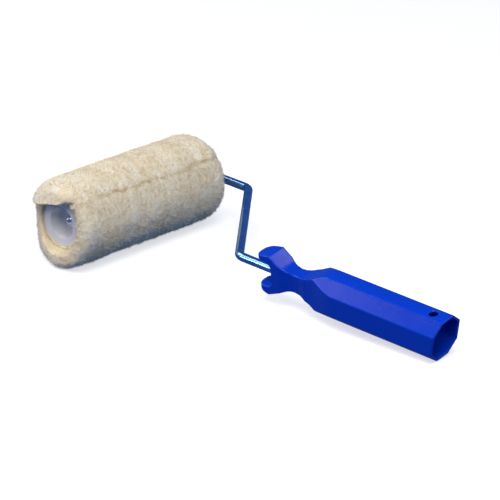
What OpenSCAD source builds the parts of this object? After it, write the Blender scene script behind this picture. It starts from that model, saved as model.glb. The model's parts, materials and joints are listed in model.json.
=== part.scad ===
// Lambswool paint roller: a wool sleeve on a plastic core that spins on a bent steel wire,
// held by a hollow eight-sided handle. All sizes are in millimetres.
// It lies as it would on a bench, on its sleeve and the heel of its handle.

/* [Core] */
// Length of the core over both end caps
core_length = 150; // [100:1:280]
// Outside diameter of the core tube
core_od = 38; // [34:0.5:50]
// Wall of the core tube
core_wall = 2.5; // [1.5:0.1:3]

/* [End caps] */
// Thickness of the flange that covers the end of the tube
cap_flange = 2.5; // [1.5:0.1:4]
// Diameter of the cup's mouth
cup_d = 25.5; // [22:0.5:28]
// Depth of the cup from the end of the roller
cup_depth = 14; // [12:0.5:20]
// Wall of the cup and thickness of its floor
cap_wall = 1.8; // [1.2:0.1:2.2]
// Outside diameter of the bearing hub
hub_d = 13; // [11:0.5:16]
// Length of the bearing hub
hub_length = 12; // [8:0.5:20]
// Radial gap between the hub and the axle
hub_gap = 0.1; // [0.05:0.01:0.2]
// Number of ribs that grip the tube
cap_ribs = 8; // [4:1:12]
// Thickness of a rib
rib_t = 1.4; // [1:0.1:2.5]

/* [Sleeve] */
// Thickness of the hide
hide_t = 1.2; // [0.8:0.1:2]
// Height of the wool
wool_h = 16.3; // [8:0.1:22]
// How far the wool bulges past the outer end of the core
outer_past = 1.5; // [0:0.5:6]
// How far the wool bulges past the inner end of the core
inner_past = 5; // [0:0.5:6]
// Rounding of the wool at the outer end
outer_round = 6; // [4:0.5:12]
// Rounding of the wool at the inner end
inner_round = 12; // [4:0.5:15]
// Angle of the seam above the level, on the handle's side
seam_angle = 42; // [0:1:80]
// Length of wool that hangs over the outer end
fringe_l = 7; // [2:0.5:9]
// Angle that the hanging wool covers, starting at the seam
fringe_sweep = 125; // [60:5:180]
// Number of stitches in the seam
stitches = 28; // [10:1:50]
// Side of the square that parts the wool along the seam
parting = 3.5; // [1:0.5:6]
// Diameter of the sewing thread
thread_d = 0.7; // [0.4:0.1:0.9]
// Length of a stitch
stitch_l = 4; // [3:0.5:6]

/* [Wire frame] */
// Diameter of the wire
wire_d = 7; // [6:0.5:8]
// Bend radius at the middle of the wire
bend_r = 10.5; // [7:0.5:12]
// Distance from the end of the core to the middle of the crank
crank_gap = 12.5; // [8:0.5:20]
// Length of the crank's stub, from the axle to the first corner
stub_l = 48.5; // [46:0.5:80]
// Distance from the axle to the corner before the handle
elbow_x = 135.5; // [110:1:170]
// Shift of the handle's line from the middle of the core
handle_y = -19; // [-30:0.5:30]
// Length of a pair of pressed ears
ear_l = 7; // [5:0.5:9]
// Width over a pair of pressed ears
ear_w = 11; // [9:0.5:12]
// Thickness of a pressed ear
ear_t = 3.2; // [2:0.1:4]
// Gap between the ears and the washer beside them
end_play = 0.3; // [0.2:0.1:1]

/* [Small parts] */
// Diameter of the washers
washer_d = 16; // [14:0.5:20]
// Thickness of the washers
washer_t = 1; // [0.5:0.1:1.5]
// Radial gap between a washer and the axle
washer_gap = 0.25; // [0.1:0.05:0.5]
// Diameter of the toothed retaining ring
ring_d = 13; // [12:0.5:16]
// Thickness of the spring steel in the retaining ring
ring_t = 0.5; // [0.3:0.1:0.8]
// Number of teeth in the retaining ring
ring_teeth = 6; // [4:1:8]
// Height of the dome over the end of the axle
dome_h = 6.5; // [5:0.5:9]
// Sheet thickness of the dome
dome_t = 0.5; // [0.3:0.1:0.7]

/* [Handle] */
// Distance from the wire's elbow to the tip of the handle
tip_gap = 25; // [15:0.5:50]
// Length of the handle
handle_l = 175.5; // [140:0.5:220]
// Width of the grip across its side flats
grip_w = 31.2; // [29:0.1:36]
// Height of the grip across its top and bottom flats
grip_h = 35.8; // [30:0.1:40]
// Size of the flat that cuts each corner of the grip, along the grip's side
corner_cut = 9.3; // [5:0.1:10]
// Slant of the open end, which is longer at the top
end_slant = 12; // [0:1:15]
// Turn of the handle on the wire
handle_turn = 11; // [0:1:20]
// Rise of the head's upper crease over the wire
head_rise = 17.3; // [13:0.1:20]
// Drop of the head's lower crease under the wire
head_drop = 17.9; // [13:0.1:20]
// Width of the head
head_w = 17.6; // [15:0.2:20]
// Depth of the hollow in each side of the neck
waist_depth = 2.8; // [0.4:0.2:3.4]
// Height of the neck's top over the wire
neck_rise = 7; // [6:0.1:10]
// Drop of the neck's underside under the wire
neck_drop = 9; // [6:0.1:10]
// Height of the notch in the head
notch_h = 21.5; // [14:0.5:24]
// Depth of the notch in the head
notch_depth = 15; // [8:0.5:18]
// Diameter of the socket for a pole
socket_d = 25; // [20:0.1:26]
// Wall around the eight-sided mouth
mouth_wall = 2.2; // [1.6:0.1:3]
// Depth of the eight-sided mouth
mouth_depth = 18; // [14:1:30]
// Depth of the socket for a pole, from the open end
socket_depth = 80; // [40:1:90]
// Diameter of the hanging hole
hang_d = 7; // [5:0.5:10]
// Distance from the middle of the hanging hole to the end of the handle
hang_in = 10; // [9:0.5:30]

/* [Hidden] */
fine = 96;
medium = 48;

// Roller, from its axis outwards; y runs along the axis from the middle of the core
core_r = core_od / 2;
tube_bore_r = core_r - core_wall;
hide_r = core_r + hide_t;
sleeve_r = hide_r + wool_h;
half_core = core_length / 2;
cup_r = cup_d / 2;
axle_r = wire_d / 2;
floor_y = half_core - cup_depth;
spigot_l = cup_depth + cap_wall - cap_flange;

// Small parts on the axle, stacked outwards from the cup's floor
ring_y = floor_y + washer_t;
dome_y = ring_y + ring_t;
dome_foot_r = axle_r + 0.8;
axle_end_y = dome_y + (dome_h - dome_t) * sqrt(1 - pow(axle_r / dome_foot_r, 2)) - 0.3;
ear_y = floor_y + washer_t + end_play;

// Wire
crank_y = half_core + crank_gap;
brace_angle = atan2(handle_y - crank_y, elbow_x - stub_l);
tip_x = elbow_x + tip_gap;
tang_ear_x = tip_x + 57;
tang_end_x = tang_ear_x + ear_l + 18;

// Handle; x runs along it from the roller's axis
end_x = tip_x + handle_l;
side_r = grip_w / 2;
top_r = grip_h / 2;
slant_reach = top_r * tan(end_slant);
neck_x = tip_x + 35;
notch_floor_x = tip_x + notch_depth;
notch_round = 5.5;
nose_round = 7;
nose_slope = 12;
head_arc_r = 20;
upper_slope = 36;
lower_slope = 24;
waist_reach = 12;
shoulder_from = tip_x + 37.5;
shoulder_to = tip_x + 73.5;
flare_to = tip_x + 82;
edge_steps = 16;
core_d = 20;
core_x = tip_x + 71;
socket_x = end_x - socket_depth;

// A bend is drawn a hair thicker than the straights, which run a short way into it
bend_swell = 0.02;
bend_lap = 0.3;

// How the roller lies: turned about its axis until the heel is as low as the sleeve
heel_x = end_x - slant_reach;
heel_drop = (side_r - corner_cut) * sin(handle_turn) + top_r * cos(handle_turn);
rest_tilt = asin(sleeve_r / norm([heel_x, heel_drop])) - atan2(heel_drop, heel_x);
far_x = (end_x + slant_reach) * cos(rest_tilt) + heel_drop * sin(rest_tilt);
outer_y = -half_core - fringe_l;
inner_y = crank_y + axle_r;

module lying() {
    translate([-(far_x - sleeve_r) / 2, -(inner_y + outer_y) / 2, sleeve_r])
        rotate([0, rest_tilt, 0]) children();
}

// Turns a piece drawn along z so that it lies along the roller's axis
module along_axis() rotate([-90, 0, 0]) children();

// The outer end of the roller is the inner one mirrored
module at_outer_end() mirror([0, 1, 0]) children();

module on_handle() translate([0, handle_y, 0]) rotate([handle_turn, 0, 0]) children();

function arc(centre, r, from, to, n = 12) =
    [for (i = [0:n]) centre + r * [cos(from + (to - from) * i / n), sin(from + (to - from) * i / n)]];

// ---- roller ----

module core_tube() color("gainsboro") along_axis() difference() {
    tube_l = core_length - 2 * cap_flange;
    cylinder(r = core_r, h = tube_l, center = true, $fn = fine);
    cylinder(r = tube_bore_r, h = tube_l + 2, center = true, $fn = fine);
}

// A cup with a flange, a bearing hub in its floor and ribs that grip the tube
module end_cap() along_axis() difference() {
    union() {
        translate([0, 0, half_core - cap_flange]) cylinder(r = core_r, h = cap_flange, $fn = fine);
        translate([0, 0, floor_y - cap_wall]) cylinder(r = cup_r + cap_wall, h = spigot_l, $fn = fine);
        translate([0, 0, floor_y - hub_length]) cylinder(d = hub_d, h = hub_length, $fn = medium);
        intersection() {
            translate([0, 0, floor_y - cap_wall]) cylinder(r = tube_bore_r, h = spigot_l, $fn = fine);
            for (i = [0:cap_ribs - 1]) rotate([0, 0, i * 360 / cap_ribs])
                translate([cup_r, -rib_t / 2, floor_y - cap_wall]) cube([core_r, rib_t, spigot_l]);
        }
    }
    translate([0, 0, floor_y]) cylinder(r = cup_r, h = cup_depth + 1, $fn = fine);
    translate([0, 0, floor_y - hub_length - 1]) cylinder(r = axle_r + hub_gap, h = hub_length + 2, $fn = medium);
}

module outer_end_cap() color("whitesmoke") at_outer_end() end_cap();

module inner_end_cap() color("whitesmoke") end_cap();

module hide_sleeve() color("tan") along_axis() difference() {
    cylinder(r = hide_r, h = core_length, center = true, $fn = fine);
    cylinder(r = core_r, h = core_length + 2, center = true, $fn = fine);
}

// Section of the wool from the hide outwards, as [radius, place along the axis]
wool_section = concat(
    [[hide_r, -half_core], [hide_r + outer_past, -half_core - outer_past]],
    arc([sleeve_r - outer_round, -half_core - outer_past + outer_round], outer_round, -90, 0),
    arc([sleeve_r - inner_round, half_core + inner_past - inner_round], inner_round, 0, 90),
    [[hide_r, half_core]]);

// The longer wool at the outer end, from the seam over the top
fringe_section = [[hide_r + 1, -half_core + 2], [hide_r + 2, outer_y + 1.2], [hide_r + 4, outer_y],
                  [hide_r + 7.5, outer_y + 0.8], [hide_r + 10, -half_core - fringe_l / 3],
                  [hide_r + 11, -half_core + 2]];

module on_seam() rotate([0, 0, -seam_angle]) children();

module wool_pile() color("wheat") along_axis() difference() {
    run = core_length + 4 * fringe_l;
    union() {
        rotate_extrude($fn = fine) polygon(wool_section);
        rotate([0, 0, -seam_angle - fringe_sweep])
            rotate_extrude(angle = fringe_sweep, $fn = fine) polygon(fringe_section);
    }
    on_seam() {
        translate([hide_r - 1, -stitch_l / 2 - 0.5, -run / 2]) cube([1 + 2 * thread_d, stitch_l + 1, run]);
        translate([sleeve_r, 0, 0]) rotate([0, 0, 45]) cube([parting, parting, run], center = true);
    }
}

// Slanted stitches across the seam, lying on the hide
module seam_thread() color("ivory") along_axis() on_seam() {
    pitch = core_length / stitches;
    for (i = [0:stitches - 1])
        translate([hide_r + thread_d / 2 + 0.05, 0, -half_core + (i + 0.5) * pitch])
            rotate([65, 0, 0]) cylinder(d = thread_d, h = stitch_l, center = true, $fn = 16);
}

// ---- on the axle ----

module washer() along_axis() translate([0, 0, floor_y]) difference() {
    cylinder(d = washer_d, h = washer_t, $fn = medium);
    translate([0, 0, -1]) cylinder(r = axle_r + washer_gap, h = washer_t + 2, $fn = medium);
}

module outer_washer() color("white") at_outer_end() washer();

module inner_washer() color("white") washer();

// Spring steel ring whose teeth bite on the axle
module retainer_ring() color("silver") at_outer_end() along_axis() translate([0, 0, ring_y]) difference() {
    cylinder(d = ring_d, h = ring_t, $fn = medium);
    translate([0, 0, -1]) cylinder(r = axle_r, h = ring_t + 2, $fn = medium);
    for (i = [0:ring_teeth - 1]) rotate([0, 0, i * 360 / ring_teeth])
        translate([0, -0.5, -1]) cube([axle_r + 1.6, 1, ring_t + 2]);
}

function dome_section(r, h) = concat([[0, 0], [r, 0]], arc([0, 0], 1, 0, 90) * [[r, 0], [0, h]]);

// Pressed cap over the end of the axle, crimped to the retaining ring
module retainer_dome() color("silver") at_outer_end() along_axis() translate([0, 0, dome_y]) {
    difference() {
        union() {
            cylinder(d = ring_d, h = dome_t, $fn = medium);
            rotate_extrude($fn = medium) polygon(dome_section(dome_foot_r + dome_t, dome_h));
        }
        rotate_extrude($fn = medium) polygon(dome_section(dome_foot_r, dome_h - dome_t));
    }
}

// ---- wire frame ----

module straight(from, to) {
    span = to - from;
    translate([from.x, from.y, 0]) rotate([0, 0, atan2(span.y, span.x)])
        translate([-bend_lap, 0, 0]) rotate([0, 90, 0])
            cylinder(r = axle_r, h = norm(span) + 2 * bend_lap, $fn = medium);
}

// Length of wire that a bend takes up on each side of its corner
function setback(turn) = bend_r * tan(abs(turn) / 2);
function heading(a) = [cos(a), sin(a)];

// A bend at a corner, from one heading to the next, where turn is positive anticlockwise
module bend(corner, from, turn) {
    side = sign(turn);
    start = corner - setback(turn) * heading(from);
    centre = start + bend_r * heading(from + 90 * side);
    translate([centre.x, centre.y, 0])
        rotate([0, 0, side > 0 ? from - 90 : from + 90 + turn])
            rotate_extrude(angle = abs(turn), $fn = fine) translate([bend_r, 0])
                circle(r = axle_r + bend_swell, $fn = medium);
}

// Two ears pressed out of the wire, along x
module ears() translate([0, -ear_w / 2, -ear_t / 2]) cube([ear_l, ear_w, ear_t]);

module tang_ears() translate([tang_ear_x, handle_y, 0]) rotate([handle_turn, 0, 0]) ears();

module wire_frame() color("steelblue") {
    axle_corner = [0, crank_y];
    stub_corner = [stub_l, crank_y];
    elbow = [elbow_x, handle_y];
    brace = heading(brace_angle);
    stub_back = setback(brace_angle);
    straight([0, -axle_end_y], [0, crank_y - bend_r]);
    bend(axle_corner, 90, -90);
    straight([bend_r, crank_y], stub_corner - [stub_back, 0]);
    bend(stub_corner, 0, brace_angle);
    straight(stub_corner + stub_back * brace, elbow - stub_back * brace);
    bend(elbow, brace_angle, -brace_angle);
    straight(elbow + [stub_back, 0], [tang_end_x, handle_y]);
    translate([0, ear_y, 0]) rotate([0, 0, 90]) ears();
    tang_ears();
}

// ---- handle ----

// A soft step from one half width to another
function flare(from_x, to_x, from_h, to_h) = [for (i = [0:edge_steps])
    [from_x + (to_x - from_x) * i / edge_steps, from_h + (to_h - from_h) * (1 - cos(180 * i / edge_steps)) / 2]];

// Half of the side view: from the tip out to the crease, down into the neck, up into the grip
function side_edge(rise, slope, neck) =
    let (foot = [neck_x, neck + head_arc_r] + head_arc_r * [-sin(slope), -cos(slope)],
         crease_x = foot.x - (rise - foot.y) / tan(slope))
    concat([[tip_x, rise - (crease_x - tip_x) * tan(nose_slope)], [crease_x, rise]],
           arc([neck_x, neck + head_arc_r], head_arc_r, -90 - slope, -90, 8),
           flare(shoulder_from, shoulder_to, neck, top_r),
           [[end_x + slant_reach, top_r]]);

function outline(upper, lower) = concat(upper, [for (i = [len(lower) - 1:-1:0]) [lower[i].x, -lower[i].y]]);

module side_outline() difference() {
    polygon(outline(side_edge(head_rise, upper_slope, neck_rise), side_edge(head_drop, lower_slope, neck_drop)));
    notch_outline();
}

// U-shaped notch, open at the tip
module notch_outline() {
    corner_y = notch_h / 2 - notch_round;
    corner_x = notch_floor_x - notch_round;
    for (side = [-1, 1]) translate([corner_x, side * corner_y]) circle(r = notch_round, $fn = medium);
    translate([tip_x - 1, -notch_h / 2]) square([corner_x - tip_x + 1, notch_h]);
    translate([tip_x - 1, -corner_y]) square([notch_depth + 1, 2 * corner_y]);
}

// One side of the plan: rounded nose, hollow neck, and a flare into the grip
waist_r = (pow(waist_reach, 2) + pow(waist_depth, 2)) / (2 * waist_depth);
waist_turn = asin(waist_reach / waist_r);
plan_edge = concat(
    arc([tip_x + nose_round, head_w / 2 - nose_round], nose_round, 180, 90),
    arc([neck_x, head_w / 2 - waist_depth + waist_r], waist_r, -90 - waist_turn, -90 + waist_turn),
    flare(neck_x + waist_reach, flare_to, head_w / 2, side_r),
    [[end_x + slant_reach, side_r]]);

// Eight-sided section of the grip, less what is asked for on every side
module grip_outline(less = 0) {
    cut = corner_cut - (2 - sqrt(2)) * less;
    w = side_r - less;
    h = top_r - less;
    polygon([[w - cut, h], [w, h - cut], [w, cut - h], [w - cut, -h],
             [cut - w, -h], [-w, cut - h], [-w, h - cut], [cut - w, h]]);
}

// The grip's section from one place to another along the handle
module grip_prism(from, to, less = 0)
    translate([from, 0, 0]) rotate([90, 0, 90]) linear_extrude(height = to - from) grip_outline(less);

// Room for the head, whose corners are not cut as the grip's are
module head_room() translate([tip_x - 1, -grip_w, -grip_h]) cube([neck_x - tip_x + 2, 2 * grip_w, 2 * grip_h]);

module beyond_end() translate([end_x, 0, 0]) rotate([0, end_slant, 0])
    translate([0, -grip_h, -grip_h]) cube(2 * grip_h);

module bored(d, from, to) translate([from, 0, 0]) rotate([0, 90, 0]) cylinder(d = d, h = to - from, $fn = fine);

module hang_hole() translate([end_x - hang_in, 0, 0]) cylinder(d = hang_d, h = grip_h, $fn = medium);

module handle() color("mediumblue") on_handle() difference() {
    intersection() {
        union() {
            head_room();
            grip_prism(neck_x, end_x + slant_reach);
        }
        rotate([90, 0, 0]) linear_extrude(height = grip_w + 2, center = true) side_outline();
        translate([0, 0, -grip_h]) linear_extrude(height = 2 * grip_h) polygon(outline(plan_edge, plan_edge));
    }
    beyond_end();
    grip_prism(end_x - mouth_depth, end_x + slant_reach + 1, mouth_wall);
    bored(socket_d, socket_x, end_x - mouth_depth + 1);
    bored(core_d, core_x, socket_x + 1);
    bored(wire_d, notch_floor_x - 2, core_x + 1);
    translate([tang_ear_x, 0, 0]) ears();
    hang_hole();
}

lying() handle();
lying() wire_frame();
lying() core_tube();
lying() outer_end_cap();
lying() inner_end_cap();
lying() hide_sleeve();
lying() wool_pile();
lying() seam_thread();
lying() outer_washer();
lying() inner_washer();
lying() retainer_ring();
lying() retainer_dome();
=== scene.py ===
"""A lambswool paint roller lying on a pale floor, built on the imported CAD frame."""

import json
import math

import bpy
import numpy as np
from mathutils import Matrix, Vector


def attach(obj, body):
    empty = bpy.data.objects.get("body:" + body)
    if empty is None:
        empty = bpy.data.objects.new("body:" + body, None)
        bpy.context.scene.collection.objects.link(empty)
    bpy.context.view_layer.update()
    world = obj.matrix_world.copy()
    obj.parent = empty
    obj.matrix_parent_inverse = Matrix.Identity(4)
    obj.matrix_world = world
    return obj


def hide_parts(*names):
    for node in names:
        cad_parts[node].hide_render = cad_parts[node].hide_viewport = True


MM = 0.001

# ---- facts from the frame ----

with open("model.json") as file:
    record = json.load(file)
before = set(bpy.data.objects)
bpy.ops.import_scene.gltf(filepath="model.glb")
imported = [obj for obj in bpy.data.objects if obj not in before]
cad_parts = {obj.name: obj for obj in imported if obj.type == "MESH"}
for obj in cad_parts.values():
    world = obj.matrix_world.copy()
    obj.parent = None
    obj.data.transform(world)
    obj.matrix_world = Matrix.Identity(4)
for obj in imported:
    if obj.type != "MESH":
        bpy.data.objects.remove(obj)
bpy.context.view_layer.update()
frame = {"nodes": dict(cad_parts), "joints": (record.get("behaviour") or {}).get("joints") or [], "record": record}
nodes = frame["nodes"]
mounts = {mount["name"]: mount for mount in frame["record"]["mounts"]}
spin = frame["joints"][0]

AXLE = np.array(spin["pos_m"])
ALONG_HANDLE = Vector(mounts["pole_socket"]["axis"]).normalized()
HANDLE_UP = Vector(mounts["hang_hole"]["axis"]).normalized()
HANDLE_END = Vector(mounts["pole_socket"]["pos_m"])
TILT = -math.asin(ALONG_HANDLE.z)

# ---- sizes of the wool, in metres ----

HALF_CORE = 75 * MM
HIDE_R = 20.2 * MM
WOOL_BORE = 19.1 * MM
SLEEVE_R = 36.5 * MM
WOOL_R = SLEEVE_R - 1.3 * MM
OUTER_FACE = HALF_CORE + 2.0 * MM
INNER_FACE = HALF_CORE + 4.0 * MM
OUTER_ROUND = 5.0 * MM
INNER_ROUND = 11.0 * MM
FRINGE = 8.0 * MM
FRINGE_LEVEL = 18.6 * MM
FRINGE_SLOPE = 0.21
SEAM = math.radians(42) - TILT
EDGE_FADE = 4 * MM

# How far the wool of the free end is rounded over and how far it stands out, round the sleeve in degrees
END_ANGLES = [0, 45, 90, 150, 180, 205, 240, 270, 300, 330, 360]
END_ROUNDING = [9, 9, 9, 12, 20, 18, 10, 6, 6, 8, 9]
END_REACH = [4.5, 3.5, 0, 0, 0, 1, 5, 6.5, 6.5, 5.5, 4.5]

# The wool is flattened where it lies on the floor, so its bed and its fibres have a lowest height
BED_LOWEST = 0.2 * MM
FIBRE_LOWEST = 0.1 * MM

ROUND_STEPS = 300
WOOL_STEP = 0.85 * MM
FIBRES = 62000
FIBRE_LENGTH_MM = (1.4, 2.8)
FIBRE_HALF_WIDTH_MM = (0.08, 0.17)

# ---- soft edges of the plastic ----

HANDLE_VOXEL = 0.55 * MM
HANDLE_SMOOTHINGS = 12
CAP_EDGE = 0.4 * MM

# ---- colours of the wool, from its partings and painted shade to its tips and painted light ----

FLEECE_SHADES = [(0.1, (0.46, 0.33, 0.16)), (0.4, (0.66, 0.54, 0.34)),
                 (0.7, (0.79, 0.69, 0.48)), (1.0, (0.90, 0.84, 0.68))]
FIBRE_SHADES = [(0.60, 0.46, 0.25), (0.74, 0.62, 0.40), (0.83, 0.73, 0.51), (0.90, 0.84, 0.67)]
FIBRE_LEVELS = [0.34, 0.56, 0.78]

# ---- camera, with angles in degrees, and the place on the grip that a small light picks out ----

CAMERA_LENS = 198.9
CAMERA_AZIMUTH = 42.09
CAMERA_ELEVATION = 21.2
CAMERA_ROLL = 0.27
CAMERA_DISTANCE = 2.2
CAMERA_TARGET = Vector((-0.07456, 0.0529, -0.0032))
SHOULDER = Vector((0.085, -0.024, 0.04))


# ---- noise and mesh helpers ----


def smooth(t):
    """Smooth step from 0 to 1."""
    t = np.clip(t, 0.0, 1.0)
    return t * t * (3 - 2 * t)


def lattice_noise(points, size, seed):
    """Smooth noise from -1 to 1 at an array of points, with lumps of about that size."""
    n = 48
    table = np.random.RandomState(seed).rand(n, n, n) * 2 - 1
    p = points / size
    cell = np.floor(p).astype(int)
    f = smooth(p - cell)
    value = 0
    for corner in np.ndindex(2, 2, 2):
        weight = np.prod([f[:, k] if corner[k] else 1 - f[:, k] for k in range(3)], axis=0)
        index = (cell + corner) % n
        value = value + weight * table[index[:, 0], index[:, 1], index[:, 2]]
    return value


def read(items, name, width):
    """One property of all items of a mesh, as an array with that many columns."""
    values = np.zeros(len(items) * width)
    items.foreach_get(name, values)
    return values.reshape(-1, width)


def unit(vectors):
    """The rows of an array, each brought to length one."""
    return vectors / np.linalg.norm(vectors, axis=1)[:, None]


def mesh_object(name, vertices, faces):
    """A smooth-shaded mesh object in the scene."""
    mesh = bpy.data.meshes.new(name)
    mesh.from_pydata([tuple(v) for v in vertices], [], faces)
    mesh.polygons.foreach_set("use_smooth", [True] * len(mesh.polygons))
    mesh.update()
    obj = bpy.data.objects.new(name, mesh)
    bpy.context.scene.collection.objects.link(obj)
    return obj


def bake_modifiers(obj):
    """Replaces an object's mesh by what its modifiers make of it."""
    graph = bpy.context.evaluated_depsgraph_get()
    mesh = bpy.data.meshes.new_from_object(obj.evaluated_get(graph))
    obj.modifiers.clear()
    obj.data = mesh


# ---- material helpers ----


class Nodes:
    """Short names for building one node material."""

    def __init__(self, name):
        self.material = bpy.data.materials.new(name)
        self.material.use_nodes = True
        self.tree = self.material.node_tree
        self.shader = self.tree.nodes["Principled BSDF"]
        self.place = self.add("ShaderNodeTexCoord").outputs["Object"]

    def add(self, kind, **settings):
        node = self.tree.nodes.new(kind)
        for key, value in settings.items():
            setattr(node, key, value)
        return node

    def link(self, source, target):
        self.tree.links.new(source, target)

    def fixed(self, **values):
        """Constants set on the shader's own sockets."""
        for key, value in values.items():
            self.shader.inputs[key.replace("_", " ")].default_value = value

    def stretched(self, scale):
        mapping = self.add("ShaderNodeMapping")
        mapping.inputs["Scale"].default_value = scale
        self.link(self.place, mapping.inputs["Vector"])
        return mapping.outputs["Vector"]

    def noise(self, scale, detail=3.0, roughness=0.55, vector=None):
        node = self.add("ShaderNodeTexNoise")
        node.inputs["Scale"].default_value = scale
        node.inputs["Detail"].default_value = detail
        node.inputs["Roughness"].default_value = roughness
        self.link(vector or self.place, node.inputs["Vector"])
        return node.outputs["Fac"]

    def remap(self, value, low, high, to_low=0.0, to_high=1.0):
        node = self.add("ShaderNodeMapRange")
        self.link(value, node.inputs["Value"])
        limits = {"From Min": low, "From Max": high, "To Min": to_low, "To Max": to_high}
        for key, number in limits.items():
            node.inputs[key].default_value = number
        return node.outputs["Result"]

    def math(self, operation, a, b):
        node = self.add("ShaderNodeMath", operation=operation)
        for socket, value in zip(node.inputs, (a, b)):
            if isinstance(value, (int, float)):
                socket.default_value = value
            else:
                self.link(value, socket)
        return node.outputs["Value"]

    def ramp(self, value, stops):
        node = self.add("ShaderNodeValToRGB")
        elements = node.color_ramp.elements
        while len(elements) < len(stops):
            elements.new(0.5)
        for element, (position, colour) in zip(elements, stops):
            element.position = position
            element.color = (*colour, 1)
        self.link(value, node.inputs["Fac"])
        return node.outputs["Color"]

    def mix(self, factor, a, b, blend="MIX"):
        node = self.add("ShaderNodeMix", data_type="RGBA", blend_type=blend)
        for socket, value in zip((node.inputs["Factor"], node.inputs[6], node.inputs[7]), (factor, a, b)):
            if isinstance(value, (int, float)):
                socket.default_value = value
            elif isinstance(value, tuple):
                socket.default_value = (*value, 1)
            else:
                self.link(value, socket)
        return node.outputs[2]

    def colour(self, value):
        self.link(value, self.shader.inputs["Base Color"])

    def roughness(self, value):
        self.link(value, self.shader.inputs["Roughness"])

    def bump(self, height, distance, strength=1.0, under=None):
        node = self.add("ShaderNodeBump")
        node.inputs["Strength"].default_value = strength
        node.inputs["Distance"].default_value = distance
        self.link(height, node.inputs["Height"])
        if under is not None:
            self.link(under, node.inputs["Normal"])
        self.link(node.outputs["Normal"], self.shader.inputs["Normal"])
        return node.outputs["Normal"]


# ---- materials ----


def blue_plastic():
    """Glossy moulded plastic with flow marks, a faint orange peel and fine scuffs."""
    m = Nodes("blue_plastic")
    flow = m.noise(30, 2, vector=m.stretched((0.25, 1, 1)))
    m.colour(m.ramp(flow, [(0.3, (0.0, 0.034, 0.48)), (0.7, (0.0, 0.046, 0.56))]))
    scuffs = m.noise(900, 2, vector=m.stretched((0.06, 1, 1)))
    smudges = m.noise(60, 3)
    worn = m.remap(scuffs, 0.6, 0.75, 0.0, 0.05)
    m.roughness(m.math("ADD", m.remap(smudges, 0.35, 0.7, 0.22, 0.32), worn))
    peel = m.bump(m.noise(420, 2), 0.00003, 0.35)
    m.bump(scuffs, 0.00002, 0.2, under=peel)
    m.fixed(IOR=1.42, Specular_IOR_Level=0.34)
    return m.material


def plated_wire():
    """Bright zinc plating with draw lines and faint clouding; its base is tinted strongly blue, partly the blue
    passivation of the zinc and partly a painted reflection of a deep blue surround.
    """
    m = Nodes("plated_wire")
    cloud = m.noise(90, 4)
    # The blue base is partly blue-passivated zinc and partly painted reflection of a deep blue surround.
    m.colour(m.ramp(cloud, [(0.35, (0.16, 0.42, 0.80)), (0.65, (0.30, 0.54, 0.88))]))
    m.roughness(m.remap(m.noise(260, 4), 0.35, 0.7, 0.14, 0.22))
    m.bump(m.noise(1500, 2, vector=m.stretched((0.1, 1, 1))), 0.00002, 0.08)
    m.fixed(Metallic=1.0)
    return m.material


def bright_steel():
    """Pressed spring steel, bright with a light brushing."""
    m = Nodes("bright_steel")
    m.colour(m.ramp(m.noise(300, 3), [(0.3, (0.62, 0.67, 0.74)), (0.7, (0.80, 0.84, 0.88))]))
    m.roughness(m.remap(m.noise(700, 3), 0.3, 0.7, 0.10, 0.22))
    m.bump(m.noise(2600, 1), 0.00001, 0.3)
    m.fixed(Metallic=1.0)
    return m.material


def moulded_plastic(name, light, dark, rough):
    """Satin moulded plastic with faint clouding and a fine grain."""
    m = Nodes(name)
    m.colour(m.ramp(m.noise(70, 4), [(0.3, dark), (0.7, light)]))
    m.roughness(m.remap(m.noise(240, 3), 0.3, 0.7, rough - 0.06, rough + 0.08))
    m.bump(m.noise(1300, 2), 0.00003, 0.35)
    m.fixed(IOR=1.49, Subsurface_Weight=0.06, Subsurface_Scale=0.002)
    return m.material


def suede():
    """The inner side of the sheepskin."""
    m = Nodes("suede")
    m.colour(m.ramp(m.noise(350, 5), [(0.3, (0.42, 0.29, 0.17)), (0.7, (0.62, 0.48, 0.32))]))
    m.bump(m.noise(1800, 4), 0.00012, 0.6)
    m.fixed(Roughness=0.9, Sheen_Weight=0.3)
    return m.material


def twisted_thread():
    """Cotton thread with its twist."""
    m = Nodes("twisted_thread")
    twist = m.add("ShaderNodeTexWave")
    twist.inputs["Scale"].default_value = 900
    twist.inputs["Distortion"].default_value = 1.5
    m.link(m.place, twist.inputs["Vector"])
    m.colour(m.ramp(twist.outputs["Fac"], [(0.1, (0.55, 0.47, 0.34)), (0.8, (0.80, 0.74, 0.62))]))
    m.bump(twist.outputs["Fac"], 0.0001, 0.6)
    m.fixed(Roughness=0.85, Sheen_Weight=0.2)
    return m.material


def fleece():
    """The bed of the wool: pale at the top of each lock and tan in the partings, with painted shade in the hollows
    and painted light on top of the free end carried in the same paleness.
    """
    m = Nodes("fleece")
    paleness_and_painted_shading = m.add("ShaderNodeAttribute", attribute_name="paleness_and_painted_shading").outputs["Fac"]
    streaks = m.noise(160, 3, vector=m.stretched((0.5, 1.6, 0.5)))
    shade = m.math("ADD", paleness_and_painted_shading, m.remap(streaks, 0.3, 0.7, -0.12, 0.12))
    tone = m.ramp(shade, FLEECE_SHADES)
    speckle = m.remap(m.noise(1400, 3), 0.3, 0.7, 0.86, 1.06)
    gain = m.add("ShaderNodeCombineColor")
    for socket in gain.inputs:
        m.link(speckle, socket)
    m.colour(m.mix(1.0, tone, gain.outputs["Color"], "MULTIPLY"))
    crimp = m.noise(1100, 4, 0.65)
    under = m.bump(m.noise(420, 3), 0.0006, 0.35)
    m.bump(crimp, 0.0003, 0.4, under=under)
    m.fixed(Roughness=0.95, Sheen_Weight=0.35, Sheen_Roughness=0.5)
    m.fixed(Subsurface_Weight=0.12, Subsurface_Scale=0.003)
    return m.material


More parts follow.
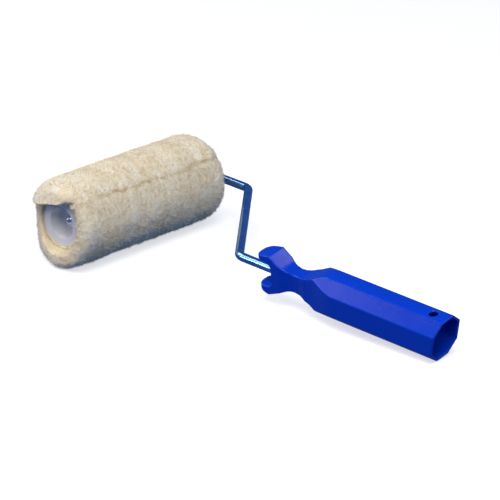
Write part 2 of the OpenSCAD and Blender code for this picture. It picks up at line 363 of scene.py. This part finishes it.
def fibre(name, colour):
    """The wool's fibre in one shade."""
    m = Nodes(name)
    m.shader.inputs["Base Color"].default_value = (*colour, 1)
    m.fixed(Roughness=0.9, Subsurface_Weight=0.3, Subsurface_Scale=0.003)
    m.fixed(Subsurface_Radius=(1.0, 0.9, 0.75))
    return m.material


# ---- wool ----


def arc_points(centre_y, centre_r, radius, start, stop, count):
    """Points of an arc in the plane of (along the axis, radius)."""
    angles = np.linspace(start, stop, count)
    return np.stack([centre_y + radius * np.cos(angles), centre_r + radius * np.sin(angles)], axis=1)


def wool_profile():
    """The wool's closed section as (along the axis, radius), and how much each point may move."""
    corners = [
        [(-HALF_CORE - 0.2 * MM, WOOL_BORE), (-OUTER_FACE + 1 * MM, HIDE_R + 0.6 * MM)],
        arc_points(-OUTER_FACE + 2 * MM, HIDE_R + 2.6 * MM, 2 * MM, -math.pi / 2, -math.pi, 6),
        arc_points(-OUTER_FACE + OUTER_ROUND, WOOL_R - OUTER_ROUND, OUTER_ROUND, math.pi, math.pi / 2, 12),
        arc_points(INNER_FACE - INNER_ROUND, WOOL_R - INNER_ROUND, INNER_ROUND, math.pi / 2, 0, 20),
        arc_points(INNER_FACE - 2 * MM, HIDE_R + 2.6 * MM, 2 * MM, 0, -math.pi / 2, 6),
        [(HALF_CORE + 0.2 * MM, WOOL_BORE), (-HALF_CORE - 0.2 * MM, WOOL_BORE)],
    ]
    line = np.concatenate([np.asarray(part) for part in corners])
    length = np.concatenate([[0], np.cumsum(np.linalg.norm(np.diff(line, axis=0), axis=1))])
    visible = length[-2]
    steps = int(visible / WOOL_STEP)
    s = np.concatenate([np.linspace(0, visible, steps), np.linspace(visible, length[-1], 12)[1:-1]])
    profile = np.stack([np.interp(s, length, line[:, k]) for k in range(2)], axis=1)
    free = smooth(s / EDGE_FADE) * smooth((visible - s) / EDGE_FADE)
    return profile, free


def wool_grid():
    """Points of the wool on a grid round the axis, their outward directions and how free they are."""
    profile, free = wool_profile()
    ahead = np.roll(profile, -1, axis=0) - np.roll(profile, 1, axis=0)
    normal = np.stack([-ahead[:, 1], ahead[:, 0]], axis=1)
    normal = unit(normal)
    angle = np.linspace(0, 2 * math.pi, ROUND_STEPS, endpoint=False)
    radial = np.stack([np.cos(angle), np.zeros_like(angle), np.sin(angle)], axis=1)
    axis = np.array([0.0, 1.0, 0.0])
    points = profile[:, None, 0, None] * axis + profile[:, None, 1, None] * radial[None]
    normals = normal[:, None, 0, None] * axis + normal[:, None, 1, None] * radial[None]
    return points.reshape(-1, 3), normals.reshape(-1, 3), np.repeat(free, ROUND_STEPS), len(profile)


def seam_distance(points):
    """Distance round the sleeve from the wandering seam, positive above it."""
    angle = np.arctan2(points[:, 2], points[:, 0]) - SEAM
    angle = (angle + math.pi) % (2 * math.pi) - math.pi
    radius = np.hypot(points[:, 0], points[:, 2])
    along = np.stack([np.zeros(len(points)), points[:, 1], np.zeros(len(points))], axis=1)
    wander = 2.0 * MM * lattice_noise(along, 16 * MM, 5) + 1.3 * MM * lattice_noise(along, 5 * MM, 6)
    return radius * angle + wander


def wool_relief(points):
    """Height of the locks above the smooth surface in metres, and their paleness from 0 to 1: darker in the
    hollows between the locks and in the seam's groove, partly the wool's tan partings and partly painted shade;
    darker near the hide where the wool turns in at both ends; and paler on the upper side of the free end as
    painted light.
    """
    lumps = 0.6 * MM * lattice_noise(points, 19 * MM, 10)
    locks = 0.30 * MM * (1 - 2.4 * np.abs(lattice_noise(points * [1, 1.5, 1], 5.5 * MM, 11)))
    curls = 0.22 * MM * lattice_noise(points, 2.1 * MM, 12)
    away = seam_distance(points)
    groove = np.exp(-((away / (1.6 * MM)) ** 2)) * (0.65 + 0.7 * lattice_noise(points, 8 * MM, 13))
    lip = np.exp(-(((away - 4.5 * MM) / (3.2 * MM)) ** 2))
    relief = lumps + locks + curls - 0.65 * MM * groove + 0.35 * MM * lip
    bands = lattice_noise(points * [0.3, 1.6, 0.3], 7 * MM, 15)
    patches = lattice_noise(points, 11 * MM, 16)
    # Painted light: the wool is made paler on its upper side near the free end, where the light falls on it.
    painted_light_at_free_end = smooth(1 - (points[:, 1] + OUTER_FACE) / (38 * MM)) * smooth(points[:, 2] / (24 * MM))
    # The wool is darker near the hide, where it turns in at both ends.
    root = smooth((HIDE_R + 7 * MM - np.hypot(points[:, 0], points[:, 2])) / (6 * MM))
    # The tone follows the height of the locks and the seam's groove: partly the tan partings, partly painted shade
    # in the hollows.
    tone = 0.74 + (0.5 * locks + curls) / (3.2 * MM) - 0.42 * groove + 0.12 * bands + 0.08 * patches
    tone = tone + 0.05 * painted_light_at_free_end - 0.2 * root
    return relief, np.clip(tone, 0, 1)


def shape_free_end(points):
    """Rounds the wool over at the free end, more on one side, and lets it stand out at the bottom."""
    angle = np.degrees(np.arctan2(points[:, 2], points[:, 0])) % 360
    rounding = np.interp(angle, END_ANGLES, END_ROUNDING) * MM
    reach = np.interp(angle, END_ANGLES, END_REACH) * MM
    radius = np.hypot(points[:, 0], points[:, 2])
    depth = np.clip(points[:, 1] + OUTER_FACE, 0, None)
    back = np.clip(1 - depth / rounding, 0, 1)
    drop = (rounding - OUTER_ROUND).clip(0) * (1 - np.sqrt(1 - back**2))
    thickness = WOOL_R - HIDE_R
    keep = np.clip(1 - drop / thickness, 0.3, 1)
    outside = np.clip(radius - HIDE_R, 0, None)
    turned = 1 - outside * (1 - keep) / radius
    moved = points * np.stack([turned, np.ones_like(turned), turned], axis=1)
    moved[:, 1] -= reach * smooth(1 - depth / (22 * MM)) * smooth(outside / (5 * MM))
    return moved


def add_fringe(points, free):
    """Pushes the wool above the seam's level out over the free end, with a flat underside."""
    height = points[:, 2] - FRINGE_LEVEL - FRINGE_SLOPE * points[:, 0]
    above = smooth(height / (2.4 * MM) + 0.5) * smooth(seam_distance(points) / (11 * MM) - 0.25)
    near_end = smooth((-points[:, 1] - HALF_CORE + 14 * MM) / (14 * MM))
    reach = above * near_end
    radius = np.hypot(points[:, 0], points[:, 2])
    roll = 1 - 0.85 * smooth((radius - 21 * MM) / (15 * MM))
    moved = points.copy()
    ragged = 1.1 + 0.2 * lattice_noise(points, 9 * MM, 14)
    moved[:, 1] -= FRINGE * reach * roll * ragged * smooth(free * 2)
    inner = smooth((28 * MM - radius) / (5 * MM))
    moved[:, 2] -= (height + 0.5 * MM).clip(0) * reach * inner * free
    return moved


def make_wool():
    """The bed of the wool, as a closed shell round the hide, and its paleness, which holds painted shade and
    painted light: zero where no fibre stands.
    """
    points, normals, free, rows = wool_grid()
    relief, tone = wool_relief(points)
    shaped = shape_free_end(points + normals * (relief * free)[:, None])
    shaped = add_fringe(shaped, free)
    index = np.arange(rows * ROUND_STEPS).reshape(rows, ROUND_STEPS)
    right = np.roll(index, -1, axis=1)
    faces = np.stack([index, np.roll(index, -1, axis=0), np.roll(right, -1, axis=0), right], axis=-1)
    vertices = shaped + AXLE
    vertices[:, 2] = np.maximum(vertices[:, 2], BED_LOWEST)
    wool = mesh_object("wool", vertices, faces.reshape(-1, 4).tolist())
    attribute = wool.data.attributes.new("paleness_and_painted_shading", "FLOAT", "POINT")
    attribute.data.foreach_set("value", tone.astype(np.float32))
    wool.data.materials.append(fleece())
    return wool, np.maximum(tone, 0.05) * (free > 0.08)


def blades(root, outward, rng):
    """Five corners of a thin, bent and tapered blade at each root, combed much as its neighbours are."""
    comb = np.stack([lattice_noise(root - AXLE, 7 * MM, 20 + k) for k in range(3)], axis=1)
    lean = unit(outward + 0.7 * comb + 0.4 * rng.normal(size=(FIBRES, 3)))
    bend = unit(outward * 0.2 + 0.9 * rng.normal(size=(FIBRES, 3)) + 0.7 * comb)
    side = unit(np.cross(lean, rng.normal(size=(FIBRES, 3))))
    length = rng.uniform(*FIBRE_LENGTH_MM, (FIBRES, 1)) * MM
    half_width = side * rng.uniform(*FIBRE_HALF_WIDTH_MM, (FIBRES, 1)) * MM
    start = root - outward * 0.5 * MM
    middle = start + lean * length * 0.6
    tip = middle + (lean * 0.5 + bend * 0.7) * length * 0.5
    narrower = half_width * 0.8
    corners = [start - half_width, start + half_width, middle + narrower, middle - narrower, tip]
    blade = np.stack(corners, axis=1)
    blade[:, :, 2] = np.maximum(blade[:, :, 2], FIBRE_LOWEST)
    return blade.reshape(-1, 3)


def make_fibres(wool, paleness_and_painted_shading):
    """Short curved fibres standing in the bed, wherever it is not marked as bare by a paleness of zero; each takes
    its shade from the bed's paleness, painted shade and painted light included.
    """
    rng = np.random.RandomState(3)
    mesh = wool.data
    corners = np.array([tuple(face.vertices) for face in mesh.polygons])
    face_paleness_and_shading = paleness_and_painted_shading[corners].mean(axis=1)
    area = read(mesh.polygons, "area", 1)[:, 0] * (face_paleness_and_shading > 0)
    pick = rng.choice(len(area), FIBRES, p=area / area.sum())
    a, b = rng.rand(2, FIBRES, 1)
    quad = read(mesh.vertices, "co", 3)[corners[pick]]
    low_edge = quad[:, 0] * (1 - a) + quad[:, 1] * a
    high_edge = quad[:, 3] * (1 - a) + quad[:, 2] * a
    root = low_edge * (1 - b) + high_edge * b
    vertices = blades(root, read(mesh.polygons, "normal", 3)[pick], rng)
    first = 5 * np.arange(FIBRES)[:, None]
    faces = (first + [0, 1, 2, 3]).tolist() + (first + [3, 2, 4]).tolist()
    fibres = mesh_object("wool_fibres", vertices, faces)
    # Each fibre's shade follows the bed's paleness, so it carries the bed's painted shade and painted light.
    tone = face_paleness_and_shading[pick] + 0.08 * lattice_noise(root - AXLE, 3 * MM, 30) + 0.09 * rng.normal(size=FIBRES)
    shade = np.digitize(tone, FIBRE_LEVELS)
    fibres.data.polygons.foreach_set("material_index", np.concatenate([shade, shade]).astype(np.int32))
    for k, colour in enumerate(FIBRE_SHADES):
        fibres.data.materials.append(fibre(f"fibre_{k}", colour))
    return fibres


# ---- handle ----


def handle_frame():
    """Place and turn of the handle's own axes: x out of its open end, z through the hanging hole."""
    x = ALONG_HANDLE
    z = (HANDLE_UP - HANDLE_UP.dot(x) * x).normalized()
    y = z.cross(x)
    turn = Matrix((x, y, z)).transposed().to_4x4()
    return Matrix.Translation(HANDLE_END) @ turn


def make_handle():
    """The moulding with the soft edges of its mould, remade from the CAD solid."""
    placed = handle_frame()
    mesh = nodes["handle"].data.copy()
    mesh.transform(placed.inverted())
    mesh.materials.clear()
    skin = bpy.data.objects.new("handle_moulding", mesh)
    bpy.context.scene.collection.objects.link(skin)
    remesh = skin.modifiers.new("even", "REMESH")
    remesh.mode = "VOXEL"
    remesh.voxel_size = HANDLE_VOXEL
    soften = skin.modifiers.new("soften", "SMOOTH")
    soften.factor = 0.5
    soften.iterations = HANDLE_SMOOTHINGS
    bake_modifiers(skin)
    skin.data.transform(placed)
    skin.data.polygons.foreach_set("use_smooth", [True] * len(skin.data.polygons))
    skin.data.materials.append(blue_plastic())
    return skin


# ---- the rest of the CAD pieces ----


def dress(node, material):
    """Gives a CAD node a procedural material."""
    mesh = nodes[node].data
    mesh.materials.clear()
    mesh.materials.append(material)


def soften_edges(node, width):
    """Rounds a CAD node's edges a little."""
    bevel = nodes[node].modifiers.new("soft_edges", "BEVEL")
    bevel.width = width
    bevel.segments = 2
    bevel.limit_method = "ANGLE"
    bevel.angle_limit = math.radians(40)


# ---- stage ----


def make_floor():
    """A pale light table, which throws no light back up at the tool."""
    side = 6.0
    corners = [(-side, -side, 0), (side, -side, 0), (side, side, 0), (-side, side, 0)]
    floor = mesh_object("floor", corners, [(0, 1, 2, 3)])
    m = Nodes("floor")
    m.colour(m.ramp(m.noise(3, 2), [(0.3, (0.54, 0.545, 0.55)), (0.7, (0.56, 0.56, 0.565))]))
    m.fixed(Roughness=0.8, Specular_IOR_Level=0.1, Emission_Color=(1, 1, 1, 1), Emission_Strength=0.64)
    floor.data.materials.append(m.material)
    floor.visible_diffuse = False
    floor.visible_glossy = False


def direction(azimuth, elevation):
    """The unit vector towards that azimuth and elevation, in degrees."""
    a, e = math.radians(azimuth), math.radians(elevation)
    return Vector((math.sin(a) * math.cos(e), -math.cos(a) * math.cos(e), math.sin(e)))


def soft_light(name, azimuth, elevation, distance, size, power, colour, aim=Vector((0, 0, 0))):
    """A square soft light at that distance and direction from the frame's origin, or from another aim."""
    away = direction(azimuth, elevation)
    data = bpy.data.lights.new(name, "AREA")
    data.shape = "SQUARE"
    data.size = size
    data.energy = power
    data.color = colour
    light = bpy.data.objects.new(name, data)
    light.location = aim + away * distance
    light.rotation_euler = away.to_track_quat("Z", "Y").to_euler()
    bpy.context.scene.collection.objects.link(light)


def make_lights():
    """A large warm key, a weak light from behind and three small fills from the left."""
    soft_light("key", 40, 53, distance=1.7, size=1.0, power=24.3, colour=(1.0, 0.955, 0.88))
    soft_light("back", 142, 55, distance=1.7, size=0.5, power=4, colour=(1.0, 0.95, 0.90))
    soft_light("left", -43, 31, distance=0.55, size=0.12, power=0.16, colour=(1.0, 0.80, 0.66), aim=SHOULDER)
    soft_light("low", -42, 19, distance=1.9, size=0.4, power=4.5, colour=(1.0, 0.84, 0.70))
    soft_light("over", -72, 40, distance=1.8, size=0.8, power=9.5, colour=(1.0, 0.97, 0.92))


def make_world():
    """A dim blue surround, which tints the shadows and the plating."""
    world = bpy.data.worlds.new("studio")
    world.use_nodes = True
    background = world.node_tree.nodes["Background"]
    background.inputs["Color"].default_value = (0.22, 0.42, 1.0, 1)
    background.inputs["Strength"].default_value = 0.28
    bpy.context.scene.world = world


def make_camera():
    """Long lens, from the free end of the sleeve and above."""
    back = direction(CAMERA_AZIMUTH, CAMERA_ELEVATION)
    data = bpy.data.cameras.new("camera")
    data.lens = CAMERA_LENS
    data.sensor_width = 36
    data.clip_end = 50
    camera = bpy.data.objects.new("camera", data)
    roll = Matrix.Rotation(math.radians(CAMERA_ROLL), 4, "Z")
    turn = back.to_track_quat("Z", "Y").to_matrix().to_4x4() @ roll
    camera.matrix_world = Matrix.Translation(CAMERA_TARGET + back * CAMERA_DISTANCE) @ turn
    bpy.context.scene.collection.objects.link(camera)
    bpy.context.scene.camera = camera


# ---- build ----

make_camera()
make_world()
make_floor()
make_lights()
bpy.context.scene.view_settings.view_transform = "Standard"

wool, paleness_and_painted_shading = make_wool()
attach(wool, "roller")
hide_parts("wool_pile")
fibres = make_fibres(wool, paleness_and_painted_shading)
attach(fibres, "roller")

handle = make_handle()
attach(handle, "frame")
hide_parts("handle")

dress("wire_frame", plated_wire())
dress("core_tube", moulded_plastic("grey_tube", (0.55, 0.56, 0.57), (0.48, 0.49, 0.50), 0.5))
white = moulded_plastic("white_plastic", (0.75, 0.76, 0.78), (0.69, 0.70, 0.73), 0.38)
dress("outer_end_cap", white)
dress("inner_end_cap", white)
nylon = moulded_plastic("nylon", (0.82, 0.82, 0.79), (0.76, 0.76, 0.73), 0.35)
dress("outer_washer", nylon)
dress("inner_washer", nylon)
steel = bright_steel()
dress("retainer_ring", steel)
dress("retainer_dome", steel)
dress("hide_sleeve", suede())
dress("seam_thread", twisted_thread())
for cap in ("outer_end_cap", "inner_end_cap"):
    soften_edges(cap, CAP_EDGE)
